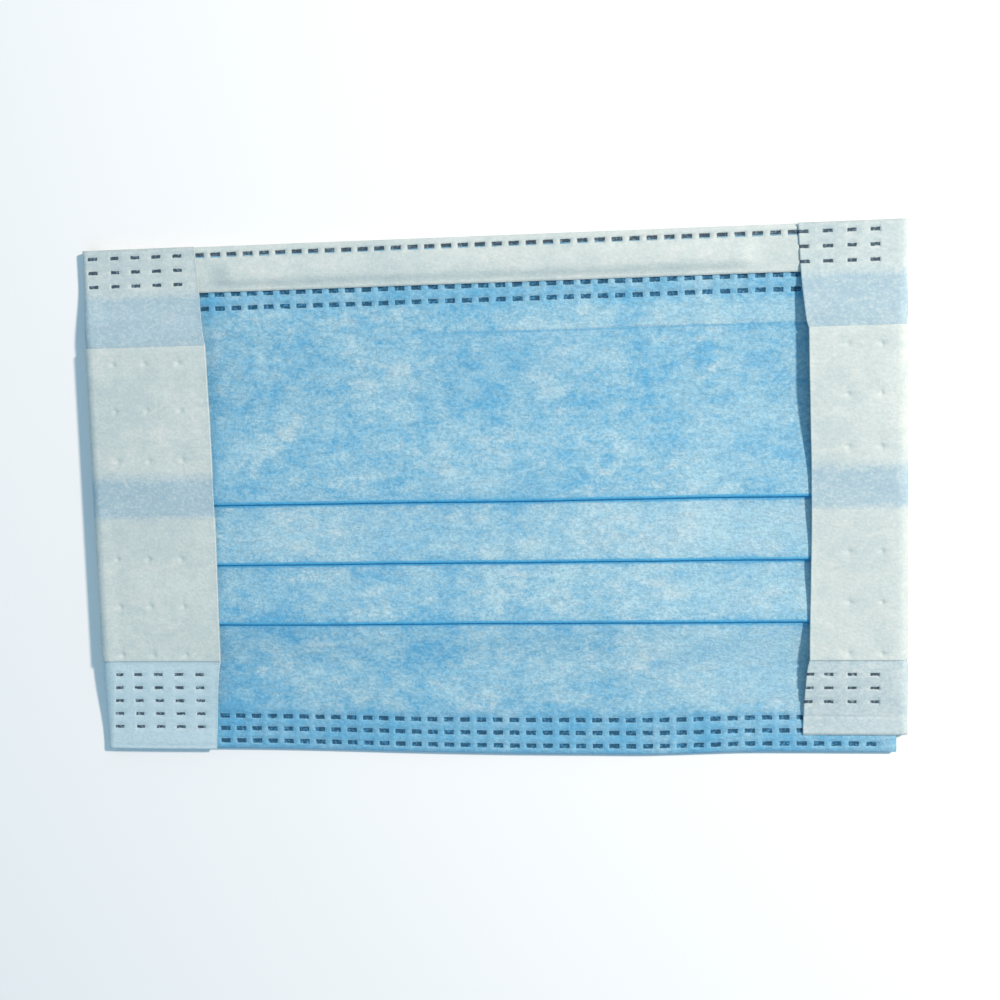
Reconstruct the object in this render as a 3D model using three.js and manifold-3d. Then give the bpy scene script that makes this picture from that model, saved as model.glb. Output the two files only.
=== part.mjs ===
// A pleated surgical face mask, lying flat with its blue face up.
// Millimetres. +X runs along the mask, +Y points to the nose edge, +Z is up.
// The origin is on the surface that the mask lies on, under the middle of the mask.
import * as THREE from 'three';
import { mergeVertices } from 'three/addons/utils/BufferGeometryUtils.js';
import Module from 'manifold-3d';

const wasm = await Module();
wasm.setup();

// Overall size
const maskLength = 152;        // X, over both end bindings
const maskHeight = 96;         // Y, from the chin edge to the nose edge
const sheet = 1.0;             // thickness of one layer of cloth
const gap = 0.3;               // air between two layers

// Blue body
const firstPleatDrop = 48.4;   // from the nose edge down to the first pleat's edge
const pleatPitch = 11.4;       // from one pleat's edge to the next
const pleatCount = 3;
const pleatDepth = 7.6;        // how far each pleat is folded back under itself
const pleatLeadIn = 6;         // slope from the flat upper panel up to the first pleat
const hemDepth = 8.1;          // chin hem, folded to the back

// White binding folded over the nose edge, and the wire in it
const bindingDepth = 8.6;
const wireLength = 96;
const wireWidth = 3;
const wireThickness = 0.8;
const wireRampLength = 1.7;    // the binding comes down over this length past the wire's ends

// White box-pleated panels over both ends
const leftPanelWidth = 24.6;
const rightPanelWidth = 17.7;
const upperFoldDrop = 18.5;    // nose edge down to the upper edge of the panel's middle layer
const lowerFoldRise = 17.7;    // chin edge up to the lower edge of the middle layer
const upperTuckShare = 0.41;   // depth of the upper hidden fold, as a share of the middle layer
const lowerTuckShare = 0.46;   // depth of the lower hidden fold, likewise
const panelSlope = 9;          // the panel comes down to the chin hem over this length
const rightPanelShort = 3.8;   // the right panel stops this far above the chin edge
const leftNoseLean = -2.4;      // the left free edge leans along X by this much at the nose edge
const leftChinLean = -2.2;      // and by this much at the chin edge
const rightNoseLean = -1.4;     // the right free edge, likewise
const rightChinLean = -1.2;
const backLegWidth = 8;        // the part of a panel that is folded round to the back
const endRound = 0.3;          // rounding of the end, where the panel turns to the back

const foldSteps = 6;           // flats in each half-round fold

// Places worked out from the sizes
const noseEdge = maskHeight / 2;
const chinEdge = -maskHeight / 2;
const endX = maskLength / 2;
const layer = sheet + gap;
const innerEndX = endX - sheet - gap;               // where the body stops inside the end panels
const levelZ = (n) => n * layer + sheet / 2;        // middle of the nth layer above the table
const skinReach = sheet / 2 / Math.cos(Math.PI / (2 * foldSteps)); // corners of a fold's outer skin

// Follows one sheet of cloth in side view, as points (y, z) along its middle.
class ClothLine {
  constructor(y, z) {
    this.points = [new THREE.Vector2(y, z)];
  }

  get end() {
    return this.points[this.points.length - 1];
  }

  runTo(y, z = this.end.y) {
    this.points.push(new THREE.Vector2(y, z));
  }

  // A half-round fold onto the level z, whose outside just reaches edgeY.
  foldAt(edgeY, z) {
    const heading = Math.sign(edgeY - this.end.x);
    const radius = Math.abs(z - this.end.y) / 2;
    this.runTo(edgeY - heading * (radius + skinReach));
    const start = this.end;
    const midZ = (start.y + z) / 2;
    for (let i = 1; i <= foldSteps; i++) {
      const turn = (Math.PI * i) / foldSteps;
      const y = start.x + heading * radius * Math.sin(turn);
      this.points.push(new THREE.Vector2(y, midZ + (start.y - midZ) * Math.cos(turn)));
    }
  }

  // The closed outline of the sheet: the line moved half a sheet to either side.
  section() {
    const sides = [[], []];
    this.points.forEach((point, i) => {
      const before = this.points[Math.max(i - 1, 0)];
      const after = this.points[Math.min(i + 1, this.points.length - 1)];
      const ways = [[before, point], [point, after]]
        .map(([a, b]) => b.clone().sub(a))
        .filter((way) => way.length() > 0)
        .map((way) => way.normalize());
      const along = ways[0].clone().add(ways[ways.length - 1]).normalize();
      const across = new THREE.Vector2(-along.y, along.x);
      const reach = sheet / 2 / along.dot(ways[0]);
      sides[0].push(point.clone().addScaledVector(across, reach));
      sides[1].push(point.clone().addScaledVector(across, -reach));
    });
    return new THREE.Shape([...sides[0], ...sides[1].reverse()]);
  }
}

// Extrudes a (y, z) section along X through several stations. A station is an x, or a
// function that gives x at each y; settle may then raise points, given (x, y, z).
function extrudeAlongX(section, stations, settle = (x, y, z) => z) {
  const spans = stations.length - 1;
  const options = { depth: spans, steps: spans, bevelEnabled: false };
  const geometry = new THREE.ExtrudeGeometry(section, options);
  const position = geometry.attributes.position;
  for (let i = 0; i < position.count; i++) {
    const station = stations[Math.round(position.getZ(i))];
    const y = position.getX(i);
    const z = position.getY(i);
    const x = typeof station === 'function' ? station(y) : station;
    position.setXYZ(i, x, y, settle(x, y, z));
  }
  return weld(geometry);
}

// Joins the shared corners of a geometry, so that it is one closed mesh.
function weld(geometry) {
  geometry.deleteAttribute('normal');
  geometry.deleteAttribute('uv');
  const welded = mergeVertices(geometry, 1e-4);
  welded.computeVertexNormals();
  return welded;
}

// One solid from several closed geometries that overlap.
function join(...geometries) {
  const solids = geometries.map((geometry) => {
    const mesh = new wasm.Mesh({
      numProp: 3,
      vertProperties: Float32Array.from(geometry.attributes.position.array),
      triVerts: Uint32Array.from(geometry.index.array),
    });
    return new wasm.Manifold(mesh);
  });
  const { vertProperties, triVerts } = solids.reduce((sum, solid) => sum.add(solid)).getMesh();
  const geometry = new THREE.BufferGeometry();
  geometry.setAttribute('position', new THREE.BufferAttribute(vertProperties, 3));
  geometry.setIndex(new THREE.BufferAttribute(triVerts, 1));
  geometry.computeVertexNormals();
  return geometry;
}

// The same geometry on the other end of the mask.
function mirrorX(geometry) {
  const mirrored = geometry.clone().scale(-1, 1, 1);
  const index = mirrored.index;
  for (let i = 0; i < index.count; i += 3) {
    const second = index.getX(i + 1);
    index.setX(i + 1, index.getX(i + 2));
    index.setX(i + 2, second);
  }
  mirrored.computeVertexNormals();
  return mirrored;
}

function named(name, geometry, colour, roughness, metalness = 0) {
  const material = new THREE.MeshStandardMaterial({ color: colour, roughness, metalness });
  const mesh = new THREE.Mesh(geometry, material);
  mesh.name = name;
  return mesh;
}

// The binding's two legs, with the half-round fold over the nose edge between them
const bindingEdgeY = noseEdge - bindingDepth;
const bindingFlatEnd = noseEdge - (levelZ(2) - levelZ(0)) / 2 - skinReach;
const wireY = (bindingEdgeY + bindingFlatEnd) / 2;
const wireBottomZ = levelZ(1) + sheet / 2 + gap;
const wireLift = wireThickness + gap;
const hemTopY = chinEdge + hemDepth;

// The blue laminate: a flat upper panel, three pleats that open downwards, and the chin hem.
function pleatedBody() {
  const topY = bindingFlatEnd + gap;
  const line = new ClothLine(topY, levelZ(1));
  line.runTo(noseEdge - firstPleatDrop + pleatDepth + gap + pleatLeadIn);
  for (let i = 0; i < pleatCount; i++) {
    const edgeY = noseEdge - firstPleatDrop - i * pleatPitch;
    line.runTo(edgeY + pleatDepth + gap, levelZ(3));
    line.foldAt(edgeY, levelZ(2));
    line.foldAt(edgeY + pleatDepth, levelZ(1));
    line.runTo(edgeY + sheet / 2);
  }
  line.foldAt(chinEdge, levelZ(0));
  line.runTo(hemTopY);
  return extrudeAlongX(line.section(), [-innerEndX, innerEndX]);
}

// The white binding: one strip folded over the nose edge, raised where it covers the wire.
function topBinding() {
  const line = new ClothLine(bindingEdgeY, levelZ(2));
  const crown = wireWidth / 2 + gap;
  line.runTo(wireY - crown);
  line.runTo(wireY + crown);
  line.foldAt(noseEdge, levelZ(0));
  line.runTo(bindingEdgeY);
  const wireEnd = wireLength / 2 + gap;
  const rampEnd = wireEnd + wireRampLength;
  const stations = [-innerEndX, -rampEnd, -wireEnd, wireEnd, rampEnd, innerEndX];
  const overWire = (x, y, z) => {
    const onCrown = z > levelZ(1) && Math.abs(y - wireY) < crown + gap;
    return onCrown && Math.abs(x) < rampEnd ? z + wireLift : z;
  };
  return extrudeAlongX(line.section(), stations, overWire);
}

// The flat wire in the binding that is pinched over the nose.
function noseWire() {
  const outline = new THREE.Shape();
  const straight = wireLength / 2 - wireWidth / 2;
  outline.absarc(straight, 0, wireWidth / 2, -Math.PI / 2, Math.PI / 2);
  outline.absarc(-straight, 0, wireWidth / 2, Math.PI / 2, (3 * Math.PI) / 2);
  const options = { depth: wireThickness, bevelEnabled: false, curveSegments: 8 };
  return weld(new THREE.ExtrudeGeometry(outline, options).translate(0, wireY, wireBottomZ));
}

// A white panel over one end, made for the +X end: a box-pleated front leg, whose middle
// layer lies over two hidden folds, the turn round the end, and a narrow back leg. The leans
// are how far the free edge shifts along X at the nose edge and at the chin edge.
function endPanel(width, bottomY, noseLean, chinLean) {
  const upperFoldY = noseEdge - upperFoldDrop;
  const lowerFoldY = chinEdge + lowerFoldRise;
  const middleHeight = upperFoldY - lowerFoldY;
  const slopeEndY = lowerFoldY - panelSlope;

  const line = new ClothLine(noseEdge, levelZ(4));
  line.foldAt(upperFoldY - middleHeight * upperTuckShare, levelZ(5));
  line.foldAt(upperFoldY, levelZ(6));
  line.foldAt(lowerFoldY, levelZ(5));
  line.foldAt(lowerFoldY + middleHeight * lowerTuckShare, levelZ(4));
  line.runTo(lowerFoldY);
  line.runTo(slopeEndY, levelZ(2));
  line.runTo(bottomY);

  // The free edge stands straight along the middle layer and leans above and below it.
  const freeEdgeX = (y) => {
    const above = Math.max(0, y - upperFoldY) / upperFoldDrop;
    const below = Math.max(0, lowerFoldY - y) / lowerFoldRise;
    return endX - width + noseLean * above + chinLean * below;
  };
  const frontLeg = extrudeAlongX(line.section(), [freeEdgeX, endX - sheet / 2]);

  const topOf = (n) => levelZ(n) + sheet / 2;
  const endOutline = new THREE.Shape([
    [bottomY, 0], [noseEdge, 0], [noseEdge, topOf(4)],
    [upperFoldY, topOf(4)], [upperFoldY, topOf(6)],
    [lowerFoldY, topOf(6)], [lowerFoldY, topOf(4)],
    [slopeEndY, topOf(2)], [bottomY, topOf(2)],
  ].map(([y, z]) => new THREE.Vector2(y, z)));
  const options = {
    depth: sheet - 2 * endRound,
    bevelEnabled: true,
    bevelThickness: endRound,
    bevelSize: endRound,
    bevelOffset: -endRound,
    bevelSegments: 2,
  };
  const turn = new THREE.ExtrudeGeometry(endOutline, options);
  // Cyclic change of axes: the outline's plane becomes YZ and the extrusion runs along X.
  turn.applyMatrix4(new THREE.Matrix4().makeBasis(
    new THREE.Vector3(0, 1, 0), new THREE.Vector3(0, 0, 1), new THREE.Vector3(1, 0, 0),
  ));
  turn.translate(endX - sheet + endRound, 0, 0);

  const backLegHeight = bindingEdgeY - hemTopY - 2 * gap;
  const backLeg = new THREE.BoxGeometry(backLegWidth - sheet / 2, backLegHeight, sheet);
  const backLegX = endX - sheet / 2 - (backLegWidth - sheet / 2) / 2;
  backLeg.translate(backLegX, (bindingEdgeY + hemTopY) / 2, levelZ(0));
  return join(frontLeg, weld(turn), weld(backLeg));
}

const mask = new THREE.Group();
const white = '#dde6e4';
const leftPanel = mirrorX(endPanel(leftPanelWidth, chinEdge, -leftNoseLean, -leftChinLean));
const rightPanel = endPanel(rightPanelWidth, chinEdge + rightPanelShort, rightNoseLean, rightChinLean);
mask.add(
  named('pleated_body', pleatedBody(), '#8fc4de', 0.85),
  named('top_binding', topBinding(), white, 0.85),
  named('nose_wire', noseWire(), '#d8dcdc', 0.45),
  named('side_panel_left', leftPanel, white, 0.85),
  named('side_panel_right', rightPanel, white, 0.85),
);

export default mask;
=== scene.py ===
# %% [markdown]
# # A pleated surgical face mask
# The mask lies flat on a pale table with its blue face up. Its solids come from the packed
# model, which is loaded first and never moved. This lesson dresses them: each sheet of cloth is
# cut flat as a grid, gets its weld marks, and is then folded into place, as on the real machine.

# %% The frame
import math

import bmesh
import bpy
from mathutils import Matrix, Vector, noise


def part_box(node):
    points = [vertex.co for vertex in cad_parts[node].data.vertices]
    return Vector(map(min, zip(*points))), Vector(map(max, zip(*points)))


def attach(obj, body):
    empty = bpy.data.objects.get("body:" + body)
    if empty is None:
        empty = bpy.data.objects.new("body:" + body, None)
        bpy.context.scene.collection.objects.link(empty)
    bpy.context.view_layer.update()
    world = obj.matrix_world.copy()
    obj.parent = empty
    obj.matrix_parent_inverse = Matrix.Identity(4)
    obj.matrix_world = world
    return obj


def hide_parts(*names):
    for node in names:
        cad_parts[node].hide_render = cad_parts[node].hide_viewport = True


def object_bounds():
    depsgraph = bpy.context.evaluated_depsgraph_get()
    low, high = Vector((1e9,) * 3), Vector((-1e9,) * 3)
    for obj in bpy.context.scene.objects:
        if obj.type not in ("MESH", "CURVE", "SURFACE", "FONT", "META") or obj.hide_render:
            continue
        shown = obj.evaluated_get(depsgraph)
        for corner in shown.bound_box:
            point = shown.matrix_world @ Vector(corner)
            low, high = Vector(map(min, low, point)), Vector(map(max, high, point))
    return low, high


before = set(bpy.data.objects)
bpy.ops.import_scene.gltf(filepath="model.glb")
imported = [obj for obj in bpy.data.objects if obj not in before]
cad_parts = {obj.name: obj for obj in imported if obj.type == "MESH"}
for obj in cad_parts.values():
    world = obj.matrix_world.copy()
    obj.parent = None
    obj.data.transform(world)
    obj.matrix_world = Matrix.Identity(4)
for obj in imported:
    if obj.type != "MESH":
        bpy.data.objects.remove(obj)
cad_low, cad_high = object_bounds()
print("nodes:", sorted(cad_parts))

# %% [markdown]
# ## Sizes
# Cloth is easier to think about in millimetres, so everything is worked out in millimetres and
# scaled to metres at the very end. What the solids already fix is read from them: the two long
# edges, the ends, the lower edge of the white binding and the innermost edges of the end panels.

# %% Sizes taken from the frame
MM = 0.001
END_SETBACK = 1.2     # the thin cloth stops short of the thick solid's end

def box_mm(node):
    """The lowest and highest corners of a solid, in millimetres."""
    low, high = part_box(node)
    return Vector(low) / MM, Vector(high) / MM

nose_edge = cad_high[1] / MM
chin_edge = cad_low[1] / MM
end_x = cad_high[0] / MM
binding_edge = box_mm("top_binding")[0].y
wire_low, wire_high = box_mm("nose_wire")
body_end_x = box_mm("pleated_body")[1].x - END_SETBACK
left_inner_x = -box_mm("side_panel_left")[1].x
right_inner_x = box_mm("side_panel_right")[0].x
right_panel_bottom = box_mm("side_panel_right")[0].y
print("mask", round(2 * end_x, 1), "by", round(nose_edge - chin_edge, 1), "mm")

# %% [markdown]
# ## The camera
# The photograph looks down on the mask from a little to its right and above its middle. A 50 mm
# lens on a 36 mm sensor is assumed. The place and the turn then come from a fit to the mask's
# own straight lines and even rows of welds.

# %% The camera
camera_data = bpy.data.cameras.new("camera")
camera_data.lens = 50
camera_data.sensor_width = 36
camera = bpy.data.objects.new("camera", camera_data)
camera.location = (0.0344, 0.0232, 0.2563)
camera.rotation_euler = [math.radians(a) for a in (-5.48, 7.01, -1.59)]
bpy.context.scene.collection.objects.link(camera)
bpy.context.scene.camera = camera
bpy.context.scene.view_settings.view_transform = "Standard"

# %% [markdown]
# ## How a sheet is folded
# A pleated sheet could be drawn as a thick outline and extruded, but then nothing on the cloth
# could be placed before it is folded. Here a route says how the cloth runs in side view: across
# the mask's height (y) and up from the table (z). A point of the flat cloth knows only its
# distance along the route, and the route tells it where it lands.

# %% The route of a sheet
FOLD_STEPS = 8

def soft_step(value, low, high):
    """0 up to low and 1 from high on, with a smooth climb between. Low may be the larger one."""
    t = min(max((value - low) / (high - low), 0.0), 1.0)
    return t * t * (3 - 2 * t)

class Route:
    """The way of one sheet in side view, as points (y, z) in millimetres."""

    def __init__(self, y, z):
        self.points = [Vector((y, z))]

    def run(self, y, z=None, steps=1):
        """On to (y, z). With several steps, the climb is eased in and out."""
        start = self.points[-1].copy()
        z = start.y if z is None else z
        for i in range(1, steps + 1):
            t = i / steps
            climb = t if steps == 1 else soft_step(t, 0, 1)
            self.points.append(Vector((start.x + t * (y - start.x), start.y + climb * (z - start.y))))

    def fold(self, z):
        """A half-round fold onto the level z, which then runs back the other way."""
        start, before = self.points[-1].copy(), self.points[-2]
        heading = 1 if start.x > before.x else -1
        middle, radius = (start.y + z) / 2, abs(z - start.y) / 2
        for i in range(1, FOLD_STEPS + 1):
            turn = math.pi * i / FOLD_STEPS
            y = start.x + heading * radius * math.sin(turn)
            self.points.append(Vector((y, middle + (start.y - middle) * math.cos(turn))))

    def measure(self):
        """The distance of each point from the start."""
        self.at = [0.0]
        for a, b in zip(self.points, self.points[1:]):
            self.at.append(self.at[-1] + (b - a).length)
        self.length = self.at[-1]
        return self

    def place(self, s):
        """The point at distance s, and the side that is up where the cloth runs to the chin."""
        i = next((k for k in range(1, len(self.at)) if self.at[k] >= s - 1e-6), len(self.at) - 1)
        a, b = self.points[i - 1], self.points[i]
        t = (s - self.at[i - 1]) / max(self.at[i] - self.at[i - 1], 1e-9)
        along = (b - a).normalized()
        return a.lerp(b, t), Vector((along.y, -along.x))

    def crossings(self, y):
        """The distances at which the route passes y."""
        found = []
        for (a, b), s in zip(zip(self.points, self.points[1:]), self.at):
            if (a.x - y) * (b.x - y) <= 0 and a.x != b.x:
                found.append(s + (b - a).length * (y - a.x) / (b.x - a.x))
        return found

# %% [markdown]
# ## How a weld mark is cut into the grid
# The welds are small rectangles where the layers are melted together: thin, glassy and dark,
# with a sloping wall all round. If the grid has a line at each side of each wall, moving four
# corners down makes one crisp dent, and no boolean cut is needed. A Lines object collects these
# lines for one direction and remembers which of them bound the floor of a mark.

# %% The lines of the grid
class Lines:
    """Grid lines along one direction, some of which lie on the floor of marks."""

    def __init__(self, start, end):
        self.start, self.end = start, end
        self.marks = {start: None, end: None}

    def floor_at(self, place):
        """The mark whose floor a place lies on, which is the one that both neighbours have."""
        below = max(p for p in self.marks if p <= place)
        above = min(p for p in self.marks if p >= place)
        return self.marks[below] if self.marks[below] == self.marks[above] else None

    def add(self, place, mark=None):
        """A plain line, unless one is there already, or a line on a mark's floor."""
        if not self.start <= place <= self.end:
            return
        near = [p for p in self.marks if abs(p - place) < 0.05]
        if near and mark is None:
            return
        mark = mark or self.floor_at(place)
        for p in near:
            if p in (self.start, self.end):
                place = p
            else:
                del self.marks[p]
        self.marks[place] = mark

    def add_mark(self, low, high, wall, mark):
        """The two sides of a mark's floor, and the outside of the walls beyond them."""
        self.add(max(low, self.start), mark)
        self.add(min(high, self.end), mark)
        self.add(low - wall)
        self.add(high + wall)

    def fill(self, spacing):
        """Adds lines where the gaps are wide. On a floor they belong to its mark."""
        placed = sorted(self.marks)
        for a, b in zip(placed, placed[1:]):
            floor = self.marks[a] if self.marks[a] == self.marks[b] else None
            parts = math.ceil((b - a) / spacing)
            for k in range(1, parts):
                self.marks[a + (b - a) * k / parts] = floor

    def places(self):
        return sorted(self.marks)

# %% [markdown]
# ## From a flat grid to a piece
# Every sheet starts as one bmesh grid. Its columns and rows are slid to the lines above, then a
# fold function moves each point to its place. Two attributes are painted as it goes: how much a
# point belongs to a weld, and a tint, which the materials read as deeper, paler or thinner.

# %% Cutting and folding a sheet
PINNED_BELOW = 0.8
FREE_CLIMB = 1.2
SLOW_WAVE = 0.30
SMALL_WAVE = 0.06

def wave(x, y, z):
    """The slow unevenness that all layers share, none of it at the table."""
    free = min(max((z - PINNED_BELOW) / FREE_CLIMB, 0.0), 1.0)
    slow = noise.noise(Vector((x / 30, y / 19, 0.3))) * SLOW_WAVE
    small = noise.noise(Vector((x / 8, y / 6, 4.1))) * SMALL_WAVE
    return free * (slow + small)

def cut_sheet(name, columns, rows, fold, keep=None, turn_over=False):
    """A piece from a flat grid. fold(column, row) gives (point, weld, tint)."""
    bm = bmesh.new()
    across, along = len(columns) - 1, len(rows) - 1
    bmesh.ops.create_grid(bm, x_segments=across, y_segments=along, size=0.5)
    weld = bm.verts.layers.float.new("weld")
    tint = bm.verts.layers.float.new("tint")
    cells = {}
    for v in bm.verts:
        i, j = round((v.co.x + 0.5) * across), round((v.co.y + 0.5) * along)
        cells[v] = columns[i], rows[j]
        point, v[weld], v[tint] = fold(columns[i], rows[j])
        v.co = Vector(point)
    if keep:
        gone = [f for f in bm.faces if not all(keep(*cells[v]) for v in f.verts)]
        bmesh.ops.delete(bm, geom=gone, context="FACES")
    if turn_over:
        bmesh.ops.reverse_faces(bm, faces=bm.faces[:])
    bmesh.ops.scale(bm, vec=(MM, MM, MM), verts=bm.verts)
    return finish_mesh(name, bm)

def finish_mesh(name, bm):
    """Turns a bmesh into an object at the origin, smooth shaded."""
    mesh = bpy.data.meshes.new(name)
    bm.to_mesh(mesh)
    bm.free()
    mesh.shade_smooth()
    piece = bpy.data.objects.new(name, mesh)
    bpy.context.scene.collection.objects.link(piece)
    print(name, len(mesh.polygons), "faces")
    return piece

def give_thickness(piece, thickness, back_material=0):
    """Both skins and the rim of a sheet, half a thickness to either side."""
    skin = piece.modifiers.new("thickness", "SOLIDIFY")
    skin.thickness = thickness * MM
    skin.offset = 0
    skin.use_even_offset = False
    skin.material_offset = back_material

# %% [markdown]
# ## Finish: spunbond cloth
# The cloth is a felt of endless plastic threads, pressed with heat. From above it looks like
# watercolour: clouds of paler and deeper blue a centimetre wide, blotches and spots of a few
# millimetres inside them, and a fine grain of threads that wind about and mostly run along the
# mask. One node group makes all of these from Object coordinates, so every cloth shares it.

# %% Helpers for node trees
def add_node(tree, kind, inputs=None, **settings):
    """A node with its settings made and its inputs set or linked."""
    node = tree.nodes.new(kind)
    for key, value in settings.items():
        setattr(node, key, value)
    for key, value in (inputs or {}).items():
        if isinstance(value, bpy.types.NodeSocket):
            tree.links.new(value, node.inputs[key])
        else:
            node.inputs[key].default_value = value
    return node

def blend(tree, factor, a, b, mode="MIX"):
    """A colour mix. Sockets 0, 6 and 7 of the Mix node are its factor and two colours."""
    node = add_node(tree, "ShaderNodeMix", {0: factor, 6: a, 7: b}, data_type="RGBA", blend_type=mode)
    return node.outputs[2]

def calculate(tree, operation, a, b=0.0):
    return add_node(tree, "ShaderNodeMath", {0: a, 1: b}, operation=operation).outputs[0]

def weighted_sum(tree, parts):
    """The sum of values, each times its weight."""
    total = calculate(tree, "MULTIPLY", *parts[0])
    for value, weight in parts[1:]:
        total = calculate(tree, "ADD", total, calculate(tree, "MULTIPLY", value, weight))
    return total

def ramp(tree, value, low, high, to_low=0.0, to_high=1.0, ends="SMOOTHSTEP"):
    """Maps low..high onto to_low..to_high, with soft ends or LINEAR ones, and stops there."""
    inputs = {0: value, 1: low, 2: high, 3: to_low, 4: to_high}
    return add_node(tree, "ShaderNodeMapRange", inputs, interpolation_type=ends).outputs[0]

# %% The spunbond group
def spunbond_group():
    tree = bpy.data.node_groups.new("spunbond", "ShaderNodeTree")
    inputs = (("Pale", "NodeSocketColor"), ("Middle", "NodeSocketColor"), ("Deep", "NodeSocketColor"),
              ("Tint", "NodeSocketFloat"), ("Grain", "NodeSocketFloat"))
    for label, kind in inputs:
        tree.interface.new_socket(label, in_out="INPUT", socket_type=kind)
    for label, kind in (("Colour", "NodeSocketColor"), ("Height", "NodeSocketFloat")):
        tree.interface.new_socket(label, in_out="OUTPUT", socket_type=kind)
    given = tree.nodes.new("NodeGroupInput").outputs
    out = tree.nodes.new("NodeGroupOutput")
    place = add_node(tree, "ShaderNodeTexCoord").outputs["Object"]
    in_mm = add_node(tree, "ShaderNodeVectorMath", {0: place, 1: (1000, 1000, 1000)},
                     operation="MULTIPLY").outputs[0]

    def noise_at(scale, seed, detail=3, rough=0.6, squeeze=(1, 1, 1), turn=0.0, warp=0.0):
        """Noise with so many features per millimetre, squeezed and turned in the sheet's plane."""
        mapped = add_node(tree, "ShaderNodeMapping",
                          {"Vector": in_mm, "Location": (seed, seed * 1.7, seed * 0.6),
                           "Rotation": (0, 0, turn), "Scale": squeeze}).outputs[0]
        return add_node(tree, "ShaderNodeTexNoise",
                        {"Vector": mapped, "Scale": scale, "Detail": detail, "Roughness": rough,
                         "Distortion": warp}).outputs[0]

    def winding_thread(scale, seed, turn, width):
        """A thin winding line wherever the noise passes its middle value."""
        value = noise_at(scale, seed, detail=1, squeeze=(0.45, 1.3, 1), turn=turn, warp=0.7)
        away = calculate(tree, "ABSOLUTE", calculate(tree, "SUBTRACT", value, 0.5))
        return ramp(tree, away, width, 0.0)

    warmth = ramp(tree, noise_at(0.16, 7.0, detail=2, squeeze=(0.7, 1.2, 1)), 0.42, 0.66)
    warm = blend(tree, calculate(tree, "MULTIPLY", warmth, given["Grain"]), given["Pale"],
                 (1.45, 1.07, 0.94, 1), mode="MULTIPLY")
    clouds = noise_at(0.085, 3.0, detail=2, squeeze=(0.9, 1.1, 1))
    blotches = noise_at(0.30, 11.0, detail=2, squeeze=(0.8, 1.2, 1), warp=0.5)
    spots = noise_at(0.85, 17.0, detail=2, squeeze=(0.8, 1.2, 1), warp=0.6)
    grain = noise_at(1.75, 23.0, detail=2, rough=0.62, squeeze=(0.9, 1.1, 1), warp=0.4)
    threads = winding_thread(0.9, 31.0, 0.05, 0.028)
    for seed, turn in ((47.0, -0.5), (59.0, 0.7), (67.0, 1.4)):
        threads = calculate(tree, "MAXIMUM", threads, winding_thread(0.8, seed, turn, 0.022))

    tone = weighted_sum(tree, ((clouds, 0.33), (blotches, 0.31), (spots, 0.24), (grain, 0.12)))
    colour = blend(tree, ramp(tree, tone, 0.48, 0.62), given["Middle"], warm)
    colour = blend(tree, ramp(tree, tone, 0.51, 0.38), colour, given["Deep"])
    colour = blend(tree, ramp(tree, given["Tint"], 0.0, 1.0, ends="LINEAR"), colour, given["Deep"])
    colour = blend(tree, ramp(tree, given["Tint"], 0.0, -1.0, ends="LINEAR"), colour, warm)
    bright = calculate(tree, "MULTIPLY", threads, calculate(tree, "MULTIPLY", given["Grain"], 0.30))
    colour = blend(tree, bright, colour, given["Pale"])
    shade = ramp(tree, grain, 0.36, 0.64, 0.78, 1.18)
    colour = blend(tree, given["Grain"], colour, shade, mode="MULTIPLY")
    # Above a tint of one, painted shade inside a fold: a darker and more saturated blue.
    painted_fold_shade = ramp(tree, given["Tint"], 1.0, 2.0, ends="LINEAR")
    colour = blend(tree, painted_fold_shade, colour, (0.42, 0.98, 1.10, 1), mode="MULTIPLY")
    height = weighted_sum(tree, ((grain, 1.0), (spots, 0.5), (threads, 0.22)))
    tree.links.new(colour, out.inputs["Colour"])
    tree.links.new(height, out.inputs["Height"])
    return tree

spunbond = spunbond_group()
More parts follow.
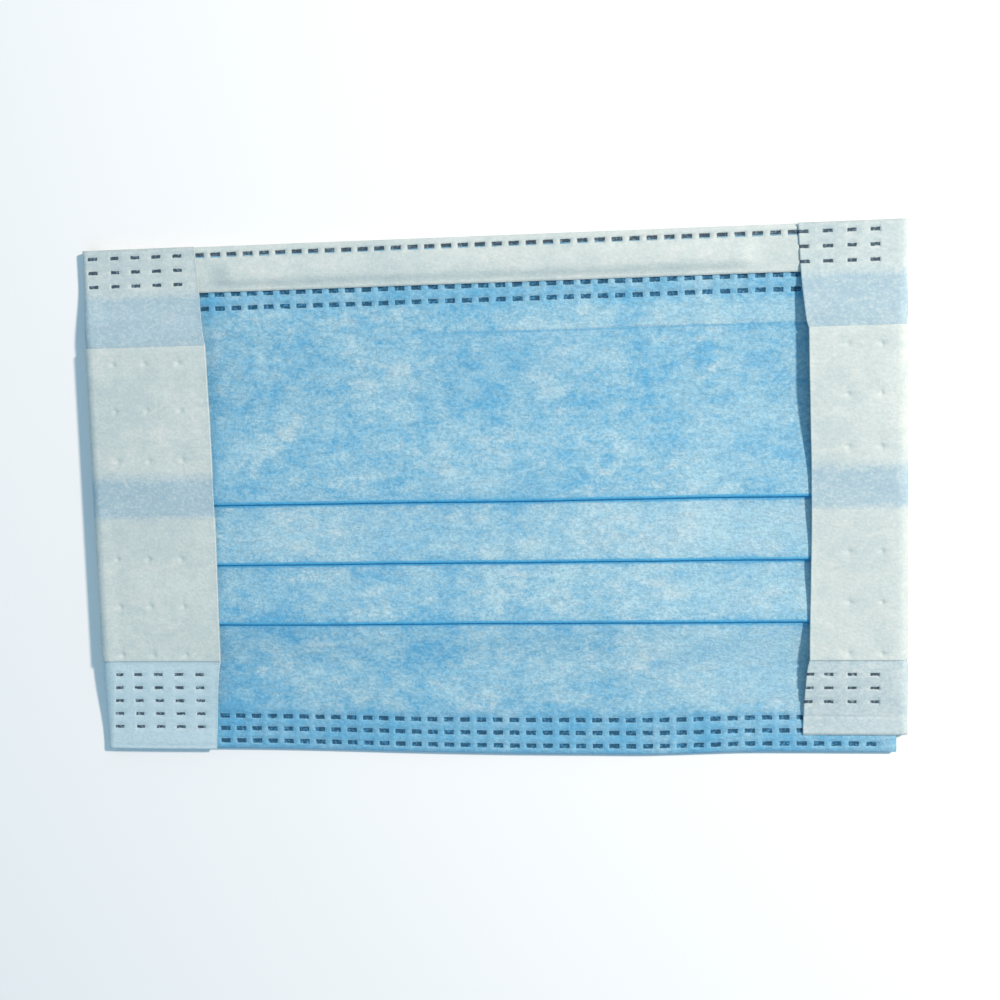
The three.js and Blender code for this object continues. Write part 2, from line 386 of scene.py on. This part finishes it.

# %% [markdown]
# ## Finish: the materials
# Each cloth mixes three tones of its own in the group. On top of that the painted attributes
# work: welds are melted to a dark film that is smoother than the cloth, with a pale rim round it
# that is a painted highlight.
# Where only one white layer lies on the blue body, the blue shows through it, and more so where
# that layer is pressed down; there the tone is also lifted by painted light, as that slope faces
# away from the lamp. The tones are linear colours.

# %% The materials
def cloth_material(name, pale, middle, deep, grain, relief, weld_tone, thin_tone=None,
                   pressed_tone_with_painted_light=None):
    material = bpy.data.materials.new(name)
    material.use_nodes = True
    tree = material.node_tree
    shader = tree.nodes["Principled BSDF"]
    cloth = add_node(tree, "ShaderNodeGroup", node_tree=spunbond)
    for key, value in (("Pale", pale), ("Middle", middle), ("Deep", deep)):
        cloth.inputs[key].default_value = (*value, 1)
    cloth.inputs["Grain"].default_value = grain
    colour = cloth.outputs["Colour"]
    tint = add_node(tree, "ShaderNodeAttribute", attribute_name="tint").outputs["Fac"]
    if thin_tone:
        uneven = ramp(tree, cloth.outputs["Height"], 0.6, 1.05, 1.5, 0.5, ends="LINEAR")
        colour = blend(tree, calculate(tree, "MULTIPLY", tint, uneven), colour, (*thin_tone, 1),
                       mode="MULTIPLY")
        # Above a tint of one the layer is pressed down: bluer, and lighter as painted light on a slope
        # facing away from the lamp.
        pressed = calculate(tree, "MULTIPLY", ramp(tree, tint, 1.0, 2.0, ends="LINEAR"), uneven)
        colour = blend(tree, pressed, colour, (*pressed_tone_with_painted_light, 1))
    else:
        tree.links.new(tint, cloth.inputs["Tint"])
    place = add_node(tree, "ShaderNodeTexCoord").outputs["Object"]
    speck = add_node(tree, "ShaderNodeTexNoise",
                     {"Vector": place, "Scale": 1900, "Detail": 2, "Roughness": 0.6}).outputs[0]
    film = blend(tree, ramp(tree, speck, 0.48, 0.66), (*weld_tone, 1),
                 tuple(2.6 * c for c in weld_tone) + (1,))
    weld = add_node(tree, "ShaderNodeAttribute", attribute_name="weld").outputs["Fac"]
    ragged = calculate(tree, "SUBTRACT", weld, calculate(tree, "MULTIPLY", speck, 0.8))
    # A painted highlight: a pale rim round each weld mark.
    highlight_rim_outside = ramp(tree, weld, 0.0, 0.25)
    highlight_rim_inside = ramp(tree, weld, 0.75, 0.35, 0.0, 0.25)
    rim = calculate(tree, "MULTIPLY", highlight_rim_outside, highlight_rim_inside)
    colour = blend(tree, rim, colour, (*pale, 1))
    colour = blend(tree, ramp(tree, ragged, 0.08, 0.52), colour, film)
    tree.links.new(colour, shader.inputs["Base Color"])
    tree.links.new(ramp(tree, weld, 0.5, 1.0, 0.88, 0.62), shader.inputs["Roughness"])
    bump = add_node(tree, "ShaderNodeBump", {"Height": cloth.outputs["Height"], "Strength": 1.0,
                                             "Distance": relief * MM})
    tree.links.new(bump.outputs[0], shader.inputs["Normal"])
    shader.inputs["Specular IOR Level"].default_value = 0.28
    shader.inputs["Sheen Weight"].default_value = 0.10
    shader.inputs["Sheen Roughness"].default_value = 0.5
    return material

blue_cloth = cloth_material(
    "blue_spunbond", pale=(0.42, 0.64, 0.73), middle=(0.265, 0.52, 0.675), deep=(0.12, 0.41, 0.65),
    grain=0.40, relief=0.11, weld_tone=(0.018, 0.095, 0.175))
white_cloth = cloth_material(
    "white_spunbond", pale=(0.625, 0.70, 0.685), middle=(0.575, 0.655, 0.64), deep=(0.52, 0.61, 0.615),
    grain=0.14, relief=0.05, weld_tone=(0.048, 0.078, 0.105), thin_tone=(0.68, 0.82, 0.95),
    pressed_tone_with_painted_light=(0.54, 0.70, 0.76))

# %% [markdown]
# ## The blue body
# On the real mask this is one laminate, pleated by a row of blades. Its visible surface climbs
# slowly to each pleat's edge and drops there by two layers, so the panels catch the light one
# by one. Each pleat goes back under itself for the depth that the blades gave it.

# %% The route of the body
BODY_SHEET = 0.34
body_flat_z = 1.8
pleat_top_z = 3.8
layer_step = 0.4
FIRST_PLEAT_DROP = 48.4
PLEAT_PITCH = 11.4
pleat_edges = [nose_edge - FIRST_PLEAT_DROP - PLEAT_PITCH * i for i in range(3)]
pleat_depth = 7.6
climb_start_y = 19.0
LAST_DESCENT = 9
HEM_DEPTH = 8.1
hem_top_y = chin_edge + HEM_DEPTH
back_leg_z = 0.24
EDGE_IN_BINDING = 1.9     # how far the blue edge lies inside the binding's fold

def body_route():
    route = Route(nose_edge - EDGE_IN_BINDING, body_flat_z)
    route.run(climb_start_y)
    base_y, base_z = climb_start_y, body_flat_z
    for edge in pleat_edges:
        slope = (pleat_top_z - base_z) / (edge - base_y)
        route.run(edge + layer_step / 2, pleat_top_z, steps=12)
        route.fold(pleat_top_z - layer_step)
        back_z = pleat_top_z + slope * pleat_depth
        route.run(edge + pleat_depth, back_z - layer_step)
        route.fold(back_z - 2 * layer_step)
        base_y, base_z = edge, pleat_top_z - 2 * layer_step
        route.run(base_y, base_z)
    route.run(pleat_edges[-1] - LAST_DESCENT, body_flat_z, steps=8)
    fold_radius = (body_flat_z - back_leg_z) / 2
    route.run(chin_edge + fold_radius + BODY_SHEET / 2)
    route.fold(back_leg_z)
    route.run(hem_top_y)
    return route.measure()

body = body_route()
print("body cloth", round(body.length, 1), "mm from edge to edge")

# %% [markdown]
# ## The body's weld marks
# Two rows hold the nose binding and three hold the chin hem. The rows keep one pitch along the
# mask, but the bands aren't in step with one another, so each has its own start.
# The grid's columns follow the nose band at the top and slide over to the chin band below.

# %% The grid of the body
WELD_PITCH = 3.12
floor_half = Vector((0.86, 0.38))
wall_wide = Vector((0.36, 0.30))
WELD_DEPTH = 0.26
nose_rows = (nose_edge - 9.0, nose_edge - 11.6)
chin_rows = (chin_edge + 6.6, chin_edge + 4.15, chin_edge + 1.7)
nose_phase, chin_phase, binding_phase = 0.45, 0.85, 0.05
crease_y = nose_edge - 17.5

def weld_columns(phase):
    """Columns over the whole length, with a mark at each weld of a long row."""
    lines = Lines(-body_end_x, body_end_x)
    count = int((body_end_x - 2) / WELD_PITCH)
    for k in range(-count, count + 1):
        x = phase + k * WELD_PITCH
        lines.add_mark(x - floor_half.x, x + floor_half.x, wall_wide.x, "weld")
    return lines

def weld_row(lines, s):
    lines.add_mark(s - floor_half.y, s + floor_half.y, wall_wide.y, "weld")

body_columns = weld_columns(nose_phase)
body_columns.fill(1.8)

body_rows = Lines(0, body.length)
for y in nose_rows:
    weld_row(body_rows, body.crossings(y)[0])
for y in chin_rows:
    for s in (body.crossings(y)[0], body.crossings(y)[-1]):
        weld_row(body_rows, s)
for d in (-0.7, -0.4, -0.15, 0.0, 0.15, 0.4, 0.7):
    body_rows.add(body.crossings(crease_y + d)[0])
for s in body.at + [s for y in pleat_edges for d in (-0.8, -0.45, -0.2, 0.45, 0.8) for s in
                    body.crossings(y + d)]:
    body_rows.add(s)
body_rows.fill(1.25)
print("body grid", len(body_columns.marks), "by", len(body_rows.marks))

# %% [markdown]
# ## The crease and the cloth's own life
# A faint crease runs across the upper panel. It is a step of less than two tenths of a
# millimetre, stronger at the right, with paler cloth above it. The cloth is deeper in
# tone where more of it lies together, which is between the welds and at the pleats' edges, where
# painted shade deepens it too. Painted shade also darkens the crease line, a band beside the left
# panel and the inside of each fold. Pleat edges are never quite straight either, so they wander
# by a tenth of a millimetre, and the chin hem with its welds bows outwards by most of a
# millimetre, right of the middle.

# %% Folding the body
CREASE_STEP = 0.16
CHIN_BOW = 0.75
PLEAT_WANDER = 0.10
# Painted shade inside each fold and along each pleat's edge.
FOLD_SHADE = 1.9
PLEAT_PAINTED_SHADE = 0.75
NOSE_BAND_DEEP = 0.54
CHIN_BAND_DEEP = 0.85
# Painted shade along the crease line.
CREASE_PAINTED_SHADE = 0.7
BELOW_CREASE_DEEP = 0.4
# Painted shade on the body along the left panel's free edge.
BESIDE_PANEL_PAINTED_SHADE = 0.8
RIGHT_PALE = 0.24
STRIP_PALE = 0.24
MIDDLE_DEEP = 0.12
UPPER_DEEP = 0.06
FIRST_PLEAT_PALE = 0.40
SECOND_PLEAT_DEEP = 0.20
LOW_PANEL_DEEP = 0.14
LOW_LEFT_DEEP = 0.12
front_end = body.crossings(climb_start_y)[0]

def chin_bow(x, y):
    """How far the chin hem bows outwards at a place."""
    along = soft_step(x, -body_end_x + 20, 10) * soft_step(x, body_end_x - 22, body_end_x - 48)
    return CHIN_BOW * along * soft_step(y, chin_edge + 20, chin_edge + 8)

def pressed_strip(x, y):
    """How much a place belongs to the strip between the nose welds and the crease."""
    to_the_right = 0.25 + 0.75 * soft_step(x, -22, 12)
    above_crease = soft_step(y, crease_y - 0.15, crease_y + 0.4)
    below_welds = soft_step(y, nose_rows[1] - 1.0, nose_rows[1] - 4.0)
    return to_the_right * above_crease * below_welds

def body_tint(x, y, z):
    """Deeper above zero, paler below, and painted shade inside a fold above one."""
    uneven = 0.75 + 0.5 * noise.noise(Vector((x / 6, y / 6, 9.0)))
    from_pleat = min((y - edge for edge in pleat_edges), key=abs)
    # Painted shade: the dark line inside each fold, and a deeper band along each pleat's edge.
    fold_painted_shade = FOLD_SHADE * soft_step(from_pleat, 0.45, 0.1) * soft_step(from_pleat, -0.9, -0.35)
    deeper_and_painted_shade = PLEAT_PAINTED_SHADE * math.exp(-abs(from_pleat) / 0.7)
    deeper_and_painted_shade = max(deeper_and_painted_shade, NOSE_BAND_DEEP * soft_step(y, nose_rows[1] - 1.3, nose_rows[1] - 0.2))
    deeper_and_painted_shade = max(deeper_and_painted_shade, CHIN_BAND_DEEP * soft_step(y, hem_top_y + 0.9, hem_top_y - 0.3))
    below_crease = crease_y - y
    # Painted shade along the crease line, stronger at the right.
    faint = 0.5 + 0.5 * soft_step(noise.noise(Vector((x / 9, 2.0, 5.0))), -0.2, 0.2)
    crease_painted_shade = CREASE_PAINTED_SHADE * faint * soft_step(x, -12, 4) * soft_step(abs(below_crease), 0.4, 0.1)
    if below_crease > 0:
        deeper_and_painted_shade += BELOW_CREASE_DEEP * soft_step(x, -25, 10) * math.exp(-below_crease / 3.5)
    # Painted shade on the body along the left panel's free edge.
    beside_panel_painted_shade = BESIDE_PANEL_PAINTED_SHADE * math.exp(-abs(x + left_inner_x + 0.5) / 1.6)
    pale_right = soft_step(x, 10, 52)
    paler = RIGHT_PALE * pale_right - UPPER_DEEP - MIDDLE_DEEP * math.exp(-((x - 6) / 16) ** 2)
    paler += STRIP_PALE * pressed_strip(x, y)
    paler += FIRST_PLEAT_PALE * soft_step(y, pleat_edges[0] + 0.5, pleat_edges[0] - 1)
    paler -= SECOND_PLEAT_DEEP * soft_step(y, pleat_edges[1] + 0.5, pleat_edges[1] - 1)
    low_panel = soft_step(y, pleat_edges[2] + 0.5, pleat_edges[2] - 1)
    low_left = LOW_LEFT_DEEP * soft_step(x, -20, -50)
    paler -= (LOW_PANEL_DEEP - RIGHT_PALE * pale_right + low_left) * low_panel
    tint = (deeper_and_painted_shade + crease_painted_shade + beside_panel_painted_shade) * uneven - paler * (1 - min(deeper_and_painted_shade, 1.0))
    return max(tint, fold_painted_shade) if fold_painted_shade > 0 else tint

def fold_body(x, s):
    spot, up = body.place(s)
    y, z = spot
    sunk = 1.0 if body_rows.marks[s] and body_columns.marks[x] else 0.0
    slide = soft_step(y, nose_edge - 20, nose_edge - 70) * (chin_phase - nose_phase)
    wander = PLEAT_WANDER * noise.noise(Vector((x / 16, s / 40, 7.7)))
    wander *= soft_step(y, chin_edge + 1, chin_edge + 5)
    lift = wave(x, y, z)
    if s < front_end:
        lift += CREASE_STEP * pressed_strip(x, y)
    depth = WELD_DEPTH * sunk
    moved_y = y + wander - chin_bow(x, y)
    point = (x + slide, moved_y - up.x * depth, z + lift - up.y * depth)
    return point, sunk, body_tint(x, y, z)

outer_cover = cut_sheet("outer_cover", body_columns.places(), body_rows.places(), fold_body,
                        turn_over=True)
outer_cover.data.materials.append(blue_cloth)
outer_cover.data.materials.append(white_cloth)
give_thickness(outer_cover, BODY_SHEET, back_material=1)
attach(outer_cover, "root")
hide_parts("pleated_body")

# %% [markdown]
# ## The pinch wire
# A soft flat wire lies in the binding so that the mask can be pinched to the nose. Nobody sees
# it, only the low ridge it makes, but it is modelled as it is: a flat strip with round edges.

# %% The pinch wire
WIRE_THICKNESS = 0.35
wire_bottom_z = body_flat_z + BODY_SHEET / 2 + 0.04
wire_y = (wire_low.y + wire_high.y) / 2
wire_length = wire_high.x - wire_low.x
wire_width = wire_high.y - wire_low.y

def make_wire():
    bm = bmesh.new()
    bmesh.ops.create_cube(bm, size=1)
    bmesh.ops.scale(bm, vec=(wire_length, wire_width, WIRE_THICKNESS), verts=bm.verts)
    bmesh.ops.bevel(bm, geom=bm.edges[:], offset=0.18, offset_type="OFFSET", segments=3,
                    profile=0.5, affect="EDGES", material=-1)
    long_edges = [e for e in bm.edges if e.calc_length() > wire_length / 2]
    bmesh.ops.subdivide_edges(bm, edges=long_edges, cuts=40)
    bmesh.ops.translate(bm, vec=(0, wire_y, wire_bottom_z + WIRE_THICKNESS / 2), verts=bm.verts)
    for v in bm.verts:
        v.co.z += wave(v.co.x, v.co.y, v.co.z)
    bmesh.ops.scale(bm, vec=(MM, MM, MM), verts=bm.verts)
    return finish_mesh("pinch_wire", bm)

def wire_material():
    material = bpy.data.materials.new("soft_wire")
    material.use_nodes = True
    tree = material.node_tree
    shader = tree.nodes["Principled BSDF"]
    place = add_node(tree, "ShaderNodeTexCoord").outputs["Object"]
    drawn = add_node(tree, "ShaderNodeMapping", {"Vector": place, "Scale": (60, 4000, 4000)}).outputs[0]
    streaks = add_node(tree, "ShaderNodeTexNoise", {"Vector": drawn, "Scale": 1.0, "Detail": 3}).outputs[0]
    colour = blend(tree, streaks, (0.42, 0.44, 0.45, 1), (0.68, 0.70, 0.70, 1))
    tree.links.new(colour, shader.inputs["Base Color"])
    tree.links.new(ramp(tree, streaks, 0.3, 0.7, 0.35, 0.55), shader.inputs["Roughness"])
    shader.inputs["Metallic"].default_value = 0.9
    return material

pinch_wire = make_wire()
pinch_wire.data.materials.append(wire_material())
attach(pinch_wire, "root")
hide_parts("nose_wire")

# %% [markdown]
# ## The nose binding
# One strip of white cloth is folded over the blue edge and welded through near its lower edge.
# Over the wire it stands up as a low ridge: its upper side catches the light, and the slope
# down to the welds is in soft shade.

# %% The nose binding
WHITE_SHEET = 0.15
binding_z = body_flat_z + BODY_SHEET / 2 + WHITE_SHEET / 2 + 0.03
binding_back_z = back_leg_z - 0.06
nose_radius = (binding_z - binding_back_z) / 2
binding = Route(binding_edge, binding_z)
binding.run(nose_edge - nose_radius - WHITE_SHEET / 2)
binding.fold(binding_back_z)
binding.run(binding_edge)
binding.measure()

binding_row = nose_edge - 1.65
binding_columns = weld_columns(binding_phase)
binding_columns.fill(1.3)
binding_rows = Lines(0, binding.length)
for s in (binding.crossings(binding_row)[0], binding.crossings(binding_row)[-1]):
    weld_row(binding_rows, s)
for s in binding.at:
    binding_rows.add(s)
binding_rows.fill(0.5)
front_leg_end = binding.crossings(binding_row)[0] + 0.8
RIDGE_SLACK = 0.50
ridge_lift = WIRE_THICKNESS + RIDGE_SLACK

def ridge(x, y):
    """How far the strip stands up over the wire, with a long upper side and a short lower one."""
    along = soft_step(abs(x), wire_length / 2 + 3.2, wire_length / 2 - 1.4)
    crest_y, foot_y = wire_y - wire_width / 2 + 0.6, binding_edge + 0.5
    down = min(max((y - crest_y) / (binding_row - 0.6 - crest_y), 0.0), 1.0)
    return ridge_lift * along * soft_step(y, foot_y, crest_y) * (1 - down * down)

def fold_binding(x, s):
    spot, up = binding.place(s)
    y, z = spot
    sunk = 1.0 if binding_rows.marks[s] and binding_columns.marks[x] else 0.0
    lift = wave(x, y, z) + (ridge(x, y) if s < front_leg_end else 0.0)
    # This route runs to the nose edge first, so the cloth's outside is the other side.
    depth = -WELD_DEPTH * sunk
    return (x, y - up.x * depth, z + lift - up.y * depth), sunk, 0.0

binding_cloth = cut_sheet("nose_binding_cloth", binding_columns.places(), binding_rows.places(),
                          fold_binding)
binding_cloth.data.materials.append(white_cloth)
give_thickness(binding_cloth, WHITE_SHEET)
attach(binding_cloth, "root")
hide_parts("top_binding")

# %% [markdown]
# ## The end panels
# Each end is covered by white cloth with a box pleat: a middle layer lies over two hidden folds.
# Three layers of white look white, and one layer lets the blue through, so the folds show as
# paler and bluer bands. The cloth turns round the end of the mask and stops on the back. A free
# edge looks inwards over the blue body and throws a shadow on it.

# %% The route of a panel
PANEL_STEP = 0.17
panel_levels = [pleat_top_z + BODY_SHEET / 2 + 0.11 + PANEL_STEP * n for n in range(3)]
top_rest_z = binding_z + WHITE_SHEET + 0.06
chin_rest_z = body_flat_z + BODY_SHEET / 2 + WHITE_SHEET / 2 + 0.08
upper_fold_y = nose_edge - 18.5
lower_fold_y = chin_edge + 17.7
middle_height = upper_fold_y - lower_fold_y
upper_tuck_y = upper_fold_y - 0.41 * middle_height
lower_tuck_y = lower_fold_y + 0.46 * middle_height

def panel_route(bottom_y):
    under, between, over = panel_levels
    half = PANEL_STEP / 2
    route = Route(nose_edge, top_rest_z)
    route.run(nose_edge - 5)
    route.run(upper_fold_y + 1, under, steps=10)
    route.run(upper_tuck_y + half)
    route.fold(between)
    route.run(upper_fold_y - half)
    route.fold(over)
    route.run(lower_fold_y + half)
    route.fold(between)
    route.run(lower_tuck_y - half)
    route.fold(under)
    route.run(lower_fold_y)
    route.run(max(lower_fold_y - 16, bottom_y + 0.6), chin_rest_z, steps=12)
    route.run(bottom_y)
    return route.measure()

# %% [markdown]
# The panels' own weld marks are coarser than the body's and come in whole blocks, and the middle
# layer is held by single points. A table lists both panels side by side. Distances are measured
# outwards from the free edge. The free edge leans along x above and below the middle layer, at
# the left outwards and at the right inwards, and the bend says how suddenly it does so. Along
# the middle layer it bows a little, by a value each for its upper end, its middle and its lower
# end. The chin's welds are shifted by one value at the fold and by the other at the chin edge.
# The hem is the distance of a fine groove from the panel's lower edge. The chin tint says how
# the one layer below the middle looks: 1 is see-through, 2 is pressed down and lifted by painted
# light, and less is whiter.

# %% The two panels
PANEL_PITCH = 4.1
PANEL_ROW = 2.64
LEAN_REACH = 3.5
panel_floor = Vector((0.78, 0.24))
panel_wall = Vector((0.38, 0.30))
PANEL_WELD_DEPTH = 0.20
POINT_RADIUS = 0.75
POINT_DEPTH = 0.30
point_rows = [upper_fold_y - d for d in (3.1, 11.9, 21.3)] + [lower_fold_y + d for d in (1.2, 10.6, 19.8)]
BACK_LEG_WIDTH = 8.0
PANEL_BACK_Z = 0.26
TURN_STEPS = 10
turn_start = end_x - 1.3
LEAN_SHARE = 0.35
POINT_CUTS = (-1, -0.6, -0.2, 0.2, 0.6, 1)
NOSE_HEM_WHITER = 0.8
CHIN_MELT = 0.90
EDGE_WOBBLE = 0.06
EDGE_CURL = 0.07
HEM_GROOVE = 0.12

panels = {
    "left": dict(side=-1, free=left_inner_x, bottom=chin_edge + 0.05, nose_lean=1.9, chin_lean=2.3,
                 bend=0.75, bow=(0.5, 0.1, 0.35), first_weld=5.9, chin_shift=(-1.2, -0.3),
                 chin_weld_rows=5, points=(5.9, 12.4, 18.6), point_shift=1.2, hem=0.6, chin_tint=1.9),
    "right": dict(side=1, free=right_inner_x + 1.4, bottom=right_panel_bottom - 0.4, nose_lean=-1.6,
                  chin_lean=-1.35, bend=0.5, bow=(0.3, 0.55, 0.05), first_weld=-0.2,
                  chin_shift=(-0.5, -0.3), chin_weld_rows=3, points=(7.0, 12.8), point_shift=0.0,
                  hem=3.5, chin_tint=0.4),
}

def make_panel(label, side, free, bottom, nose_lean, chin_lean, bend, bow, first_weld, chin_shift,
               chin_weld_rows, points, point_shift, hem, chin_tint):
    route = panel_route(bottom)
    under, over = panel_levels[0], panel_levels[-1]

    def column_at(distance):
        """The flat column that ends up at a distance from the free edge, once that leans."""
        lean = LEAN_SHARE * (nose_lean + chin_lean)
        leaned = (distance - lean) / (1 - lean / LEAN_REACH)
        return free + (leaned if leaned < LEAN_REACH else distance)

    columns = Lines(free, turn_start + TURN_STEPS + BACK_LEG_WIDTH)
    distance = first_weld
    while free + distance < turn_start - 0.4:
        low, high = column_at(distance - panel_floor.x), column_at(distance + panel_floor.x)
        columns.add_mark(low, min(high, turn_start - 0.1), panel_wall.x, "weld")
        distance += PANEL_PITCH
    point_places = [(free + p + (point_shift if y < 0 else 0), y) for p in points for y in point_rows]
    for x in sorted({x for x, _ in point_places}):
        for part in POINT_CUTS:
            columns.add(x + part * POINT_RADIUS)
    for k in range(TURN_STEPS + 1):
        columns.add(turn_start + k)
    columns.add(free + 0.2)
    columns.add(free + 0.6)
    columns.fill(1.5)

    rows = Lines(0, route.length)
    top_marks = [nose_edge - 1.6 - PANEL_ROW * k for k in range(3)]
    chin_marks = [lower_fold_y - 2.7 - PANEL_ROW * k for k in range(chin_weld_rows)]
    for s in [route.crossings(y)[0] for y in top_marks] + [route.crossings(y)[-1] for y in chin_marks]:
        rows.add_mark(s - panel_floor.y, s + panel_floor.y, panel_wall.y, "weld")
    upper_fold_s = route.crossings(upper_fold_y - 0.5)
    lower_fold_s = route.crossings(lower_fold_y + 0.5)
    middle_start, middle_end = upper_fold_s[2] - 0.6, lower_fold_s[0] + 0.6
    for s in [s for y in point_rows for s in route.crossings(y)]:
        for part in POINT_CUTS:
            rows.add(s + part * POINT_RADIUS)
    for s in route.at + [route.crossings(bottom + hem + d)[-1] for d in (-0.25, 0, 0.25)]:
        rows.add(s)
    rows.fill(1.4)

    def thin_at(y, s):
        """0 for three layers on the blue body, 1 for one layer, 2 for one pressed down with painted light.
        """
        if middle_start < s < middle_end:
            below_upper = soft_step(y, upper_tuck_y + 0.6, upper_tuck_y - 1)
            above_lower = soft_step(y, lower_tuck_y - 0.6, lower_tuck_y + 1)
            return below_upper * above_lower
        nose_hem = NOSE_HEM_WHITER * soft_step(y, nose_edge - 9.6, nose_edge - 8.4)
        chin_part = soft_step(y, lower_fold_y + 0.2, lower_fold_y - 0.2)
        return 1.0 - nose_hem + (chin_tint - 1.0) * chin_part

    def edge_shift(y):
        """How far the free edge lies outwards of its straight line."""
        above = max(0.0, y - upper_fold_y) / (nose_edge - upper_fold_y)
        below = max(0.0, lower_fold_y - y) / (lower_fold_y - chin_edge)
        middle_y = (upper_fold_y + lower_fold_y) / 2
        end_y, end_bow = (upper_fold_y, bow[0]) if y > middle_y else (lower_fold_y, bow[2])
        bowed = bow[1] + (end_bow - bow[1]) * soft_step(abs(y - middle_y), 2, abs(end_y - middle_y))
        return bowed + nose_lean * above ** bend + chin_lean * below ** bend

    def chin_move(y):
        down = min(max((lower_fold_y - y) / (lower_fold_y - chin_edge), 0.0), 1.0)
        moved = chin_shift[0] + (chin_shift[1] - chin_shift[0]) * down
        return moved * soft_step(y, lower_fold_y, lower_fold_y - 2)

    def fold_panel(column, s):
        spot, up = route.place(s)
        y, z = spot
        reach = column - free
        sunk = 1.0 if columns.marks[column] and rows.marks[s] else 0.0
        depth = PANEL_WELD_DEPTH * sunk
        if lower_fold_y < y < upper_fold_y:
            near = min(math.hypot((column - px) / 1.3, y - py) for px, py in point_places)
            pressed = 0.25 + 0.75 * (z - under) / (over - under)
            depth = POINT_DEPTH * pressed * soft_step(near, POINT_RADIUS, 0.0)
            up = Vector((0, 1))
        elif s > middle_end:
            sunk *= CHIN_MELT
        loose = max(0.0, 1 - reach / LEAN_REACH)
        lean = edge_shift(y) * loose + chin_move(y) * (1 - loose)
        wobble = EDGE_WOBBLE * noise.noise(Vector((y / 7, side * 3.0, s / 60))) * loose
        lift = wave(side * column, y, z) + EDGE_CURL * max(0.0, 1 - reach / 1.2) ** 2
        lift -= HEM_GROOVE * soft_step(abs(y - bottom - hem), 0.25, 0.0)
        inside = soft_step(y, upper_fold_y + 1.5, upper_fold_y)
        inside *= soft_step(y, lower_fold_y - 1.5, lower_fold_y)
        nested = inside * max(over - z, 0.0)
        back_z = PANEL_BACK_Z + nested
        radius = (z - back_z) / 2
        turn_x = end_x - WHITE_SHEET / 2 - radius - nested
        if column <= turn_start:
            x = column + (turn_x - turn_start) * soft_step(column, turn_start - 4, turn_start)
            x += lean + wobble
            lift *= soft_step(column, turn_start, turn_start - 3)
        elif column <= turn_start + TURN_STEPS:
            angle = math.pi * (column - turn_start) / TURN_STEPS
            x = turn_x + radius * math.sin(angle) + lean * (1 - math.sin(angle))
            z = back_z + radius * (1 + math.cos(angle))
            lift = 0.0
        else:
            x = turn_x - (column - turn_start - TURN_STEPS) + lean
            z, lift = back_z, 0.0
        point = (side * x, y - up.x * depth, z + lift - up.y * depth)
        return point, sunk, thin_at(y, s)

    def kept(column, s):
        """Hidden layers end before the turn, and the back leg lies between the two hems."""
        y = route.place(s)[0].x
        if upper_fold_s[0] + 2 < s < upper_fold_s[1] - 1 or lower_fold_s[1] + 1 < s < lower_fold_s[-1] - 2:
            return column <= turn_start
        if column > turn_start + TURN_STEPS:
            return hem_top_y + 0.4 < y < binding_edge - 0.4
        return True

    piece = cut_sheet(f"{label}_panel_cloth", columns.places(), rows.places(), fold_panel, keep=kept,
                      turn_over=side > 0)
    piece.data.materials.append(white_cloth)
    give_thickness(piece, WHITE_SHEET)
    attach(piece, "root")
    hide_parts(f"side_panel_{label}")

for label, sizes in panels.items():
    make_panel(label, **sizes)

# %% [markdown]
# ## Floor and light
# A plain pale table and one lamp are enough. The key light stands at the right and a little
# towards the nose edge, as in the photograph: it draws the shadow of the right panel and the
# thin dark line under every pleat. The surroundings fill the shadows with blue.

# %% The floor
def make_floor():
    bm = bmesh.new()
    bmesh.ops.create_grid(bm, x_segments=1, y_segments=1, size=1.5)
    floor = finish_mesh("floor", bm)
    material = bpy.data.materials.new("pale_floor")
    material.use_nodes = True
    shader = material.node_tree.nodes["Principled BSDF"]
    shader.inputs["Base Color"].default_value = (0.93, 0.94, 0.94, 1)
    shader.inputs["Roughness"].default_value = 0.9
    shader.inputs["Specular IOR Level"].default_value = 0.1
    floor.data.materials.append(material)

make_floor()

# %% The lights
key_elevation = math.radians(44)
key_bearing = math.radians(64)      # from +Y towards +X
key_way = Vector((math.sin(key_bearing) * math.cos(key_elevation),
                  math.cos(key_bearing) * math.cos(key_elevation), math.sin(key_elevation)))

def area_light(name, way, distance, size, power, colour):
    data = bpy.data.lights.new(name, "AREA")
    data.shape = "DISK"
    data.size = size
    data.energy = power
    data.color = colour
    light = bpy.data.objects.new(name, data)
    light.location = way * distance
    light.rotation_euler = (-way).to_track_quat("-Z", "Y").to_euler()
    bpy.context.scene.collection.objects.link(light)

area_light("key", key_way, 0.75, 0.07, 6.2, (0.98, 0.81, 0.69))

world = bpy.data.worlds.new("surroundings")
bpy.context.scene.world = world
world.use_nodes = True
world.node_tree.nodes["Background"].inputs["Color"].default_value = (0.52, 0.80, 1.0, 1)
world.node_tree.nodes["Background"].inputs["Strength"].default_value = 0.57
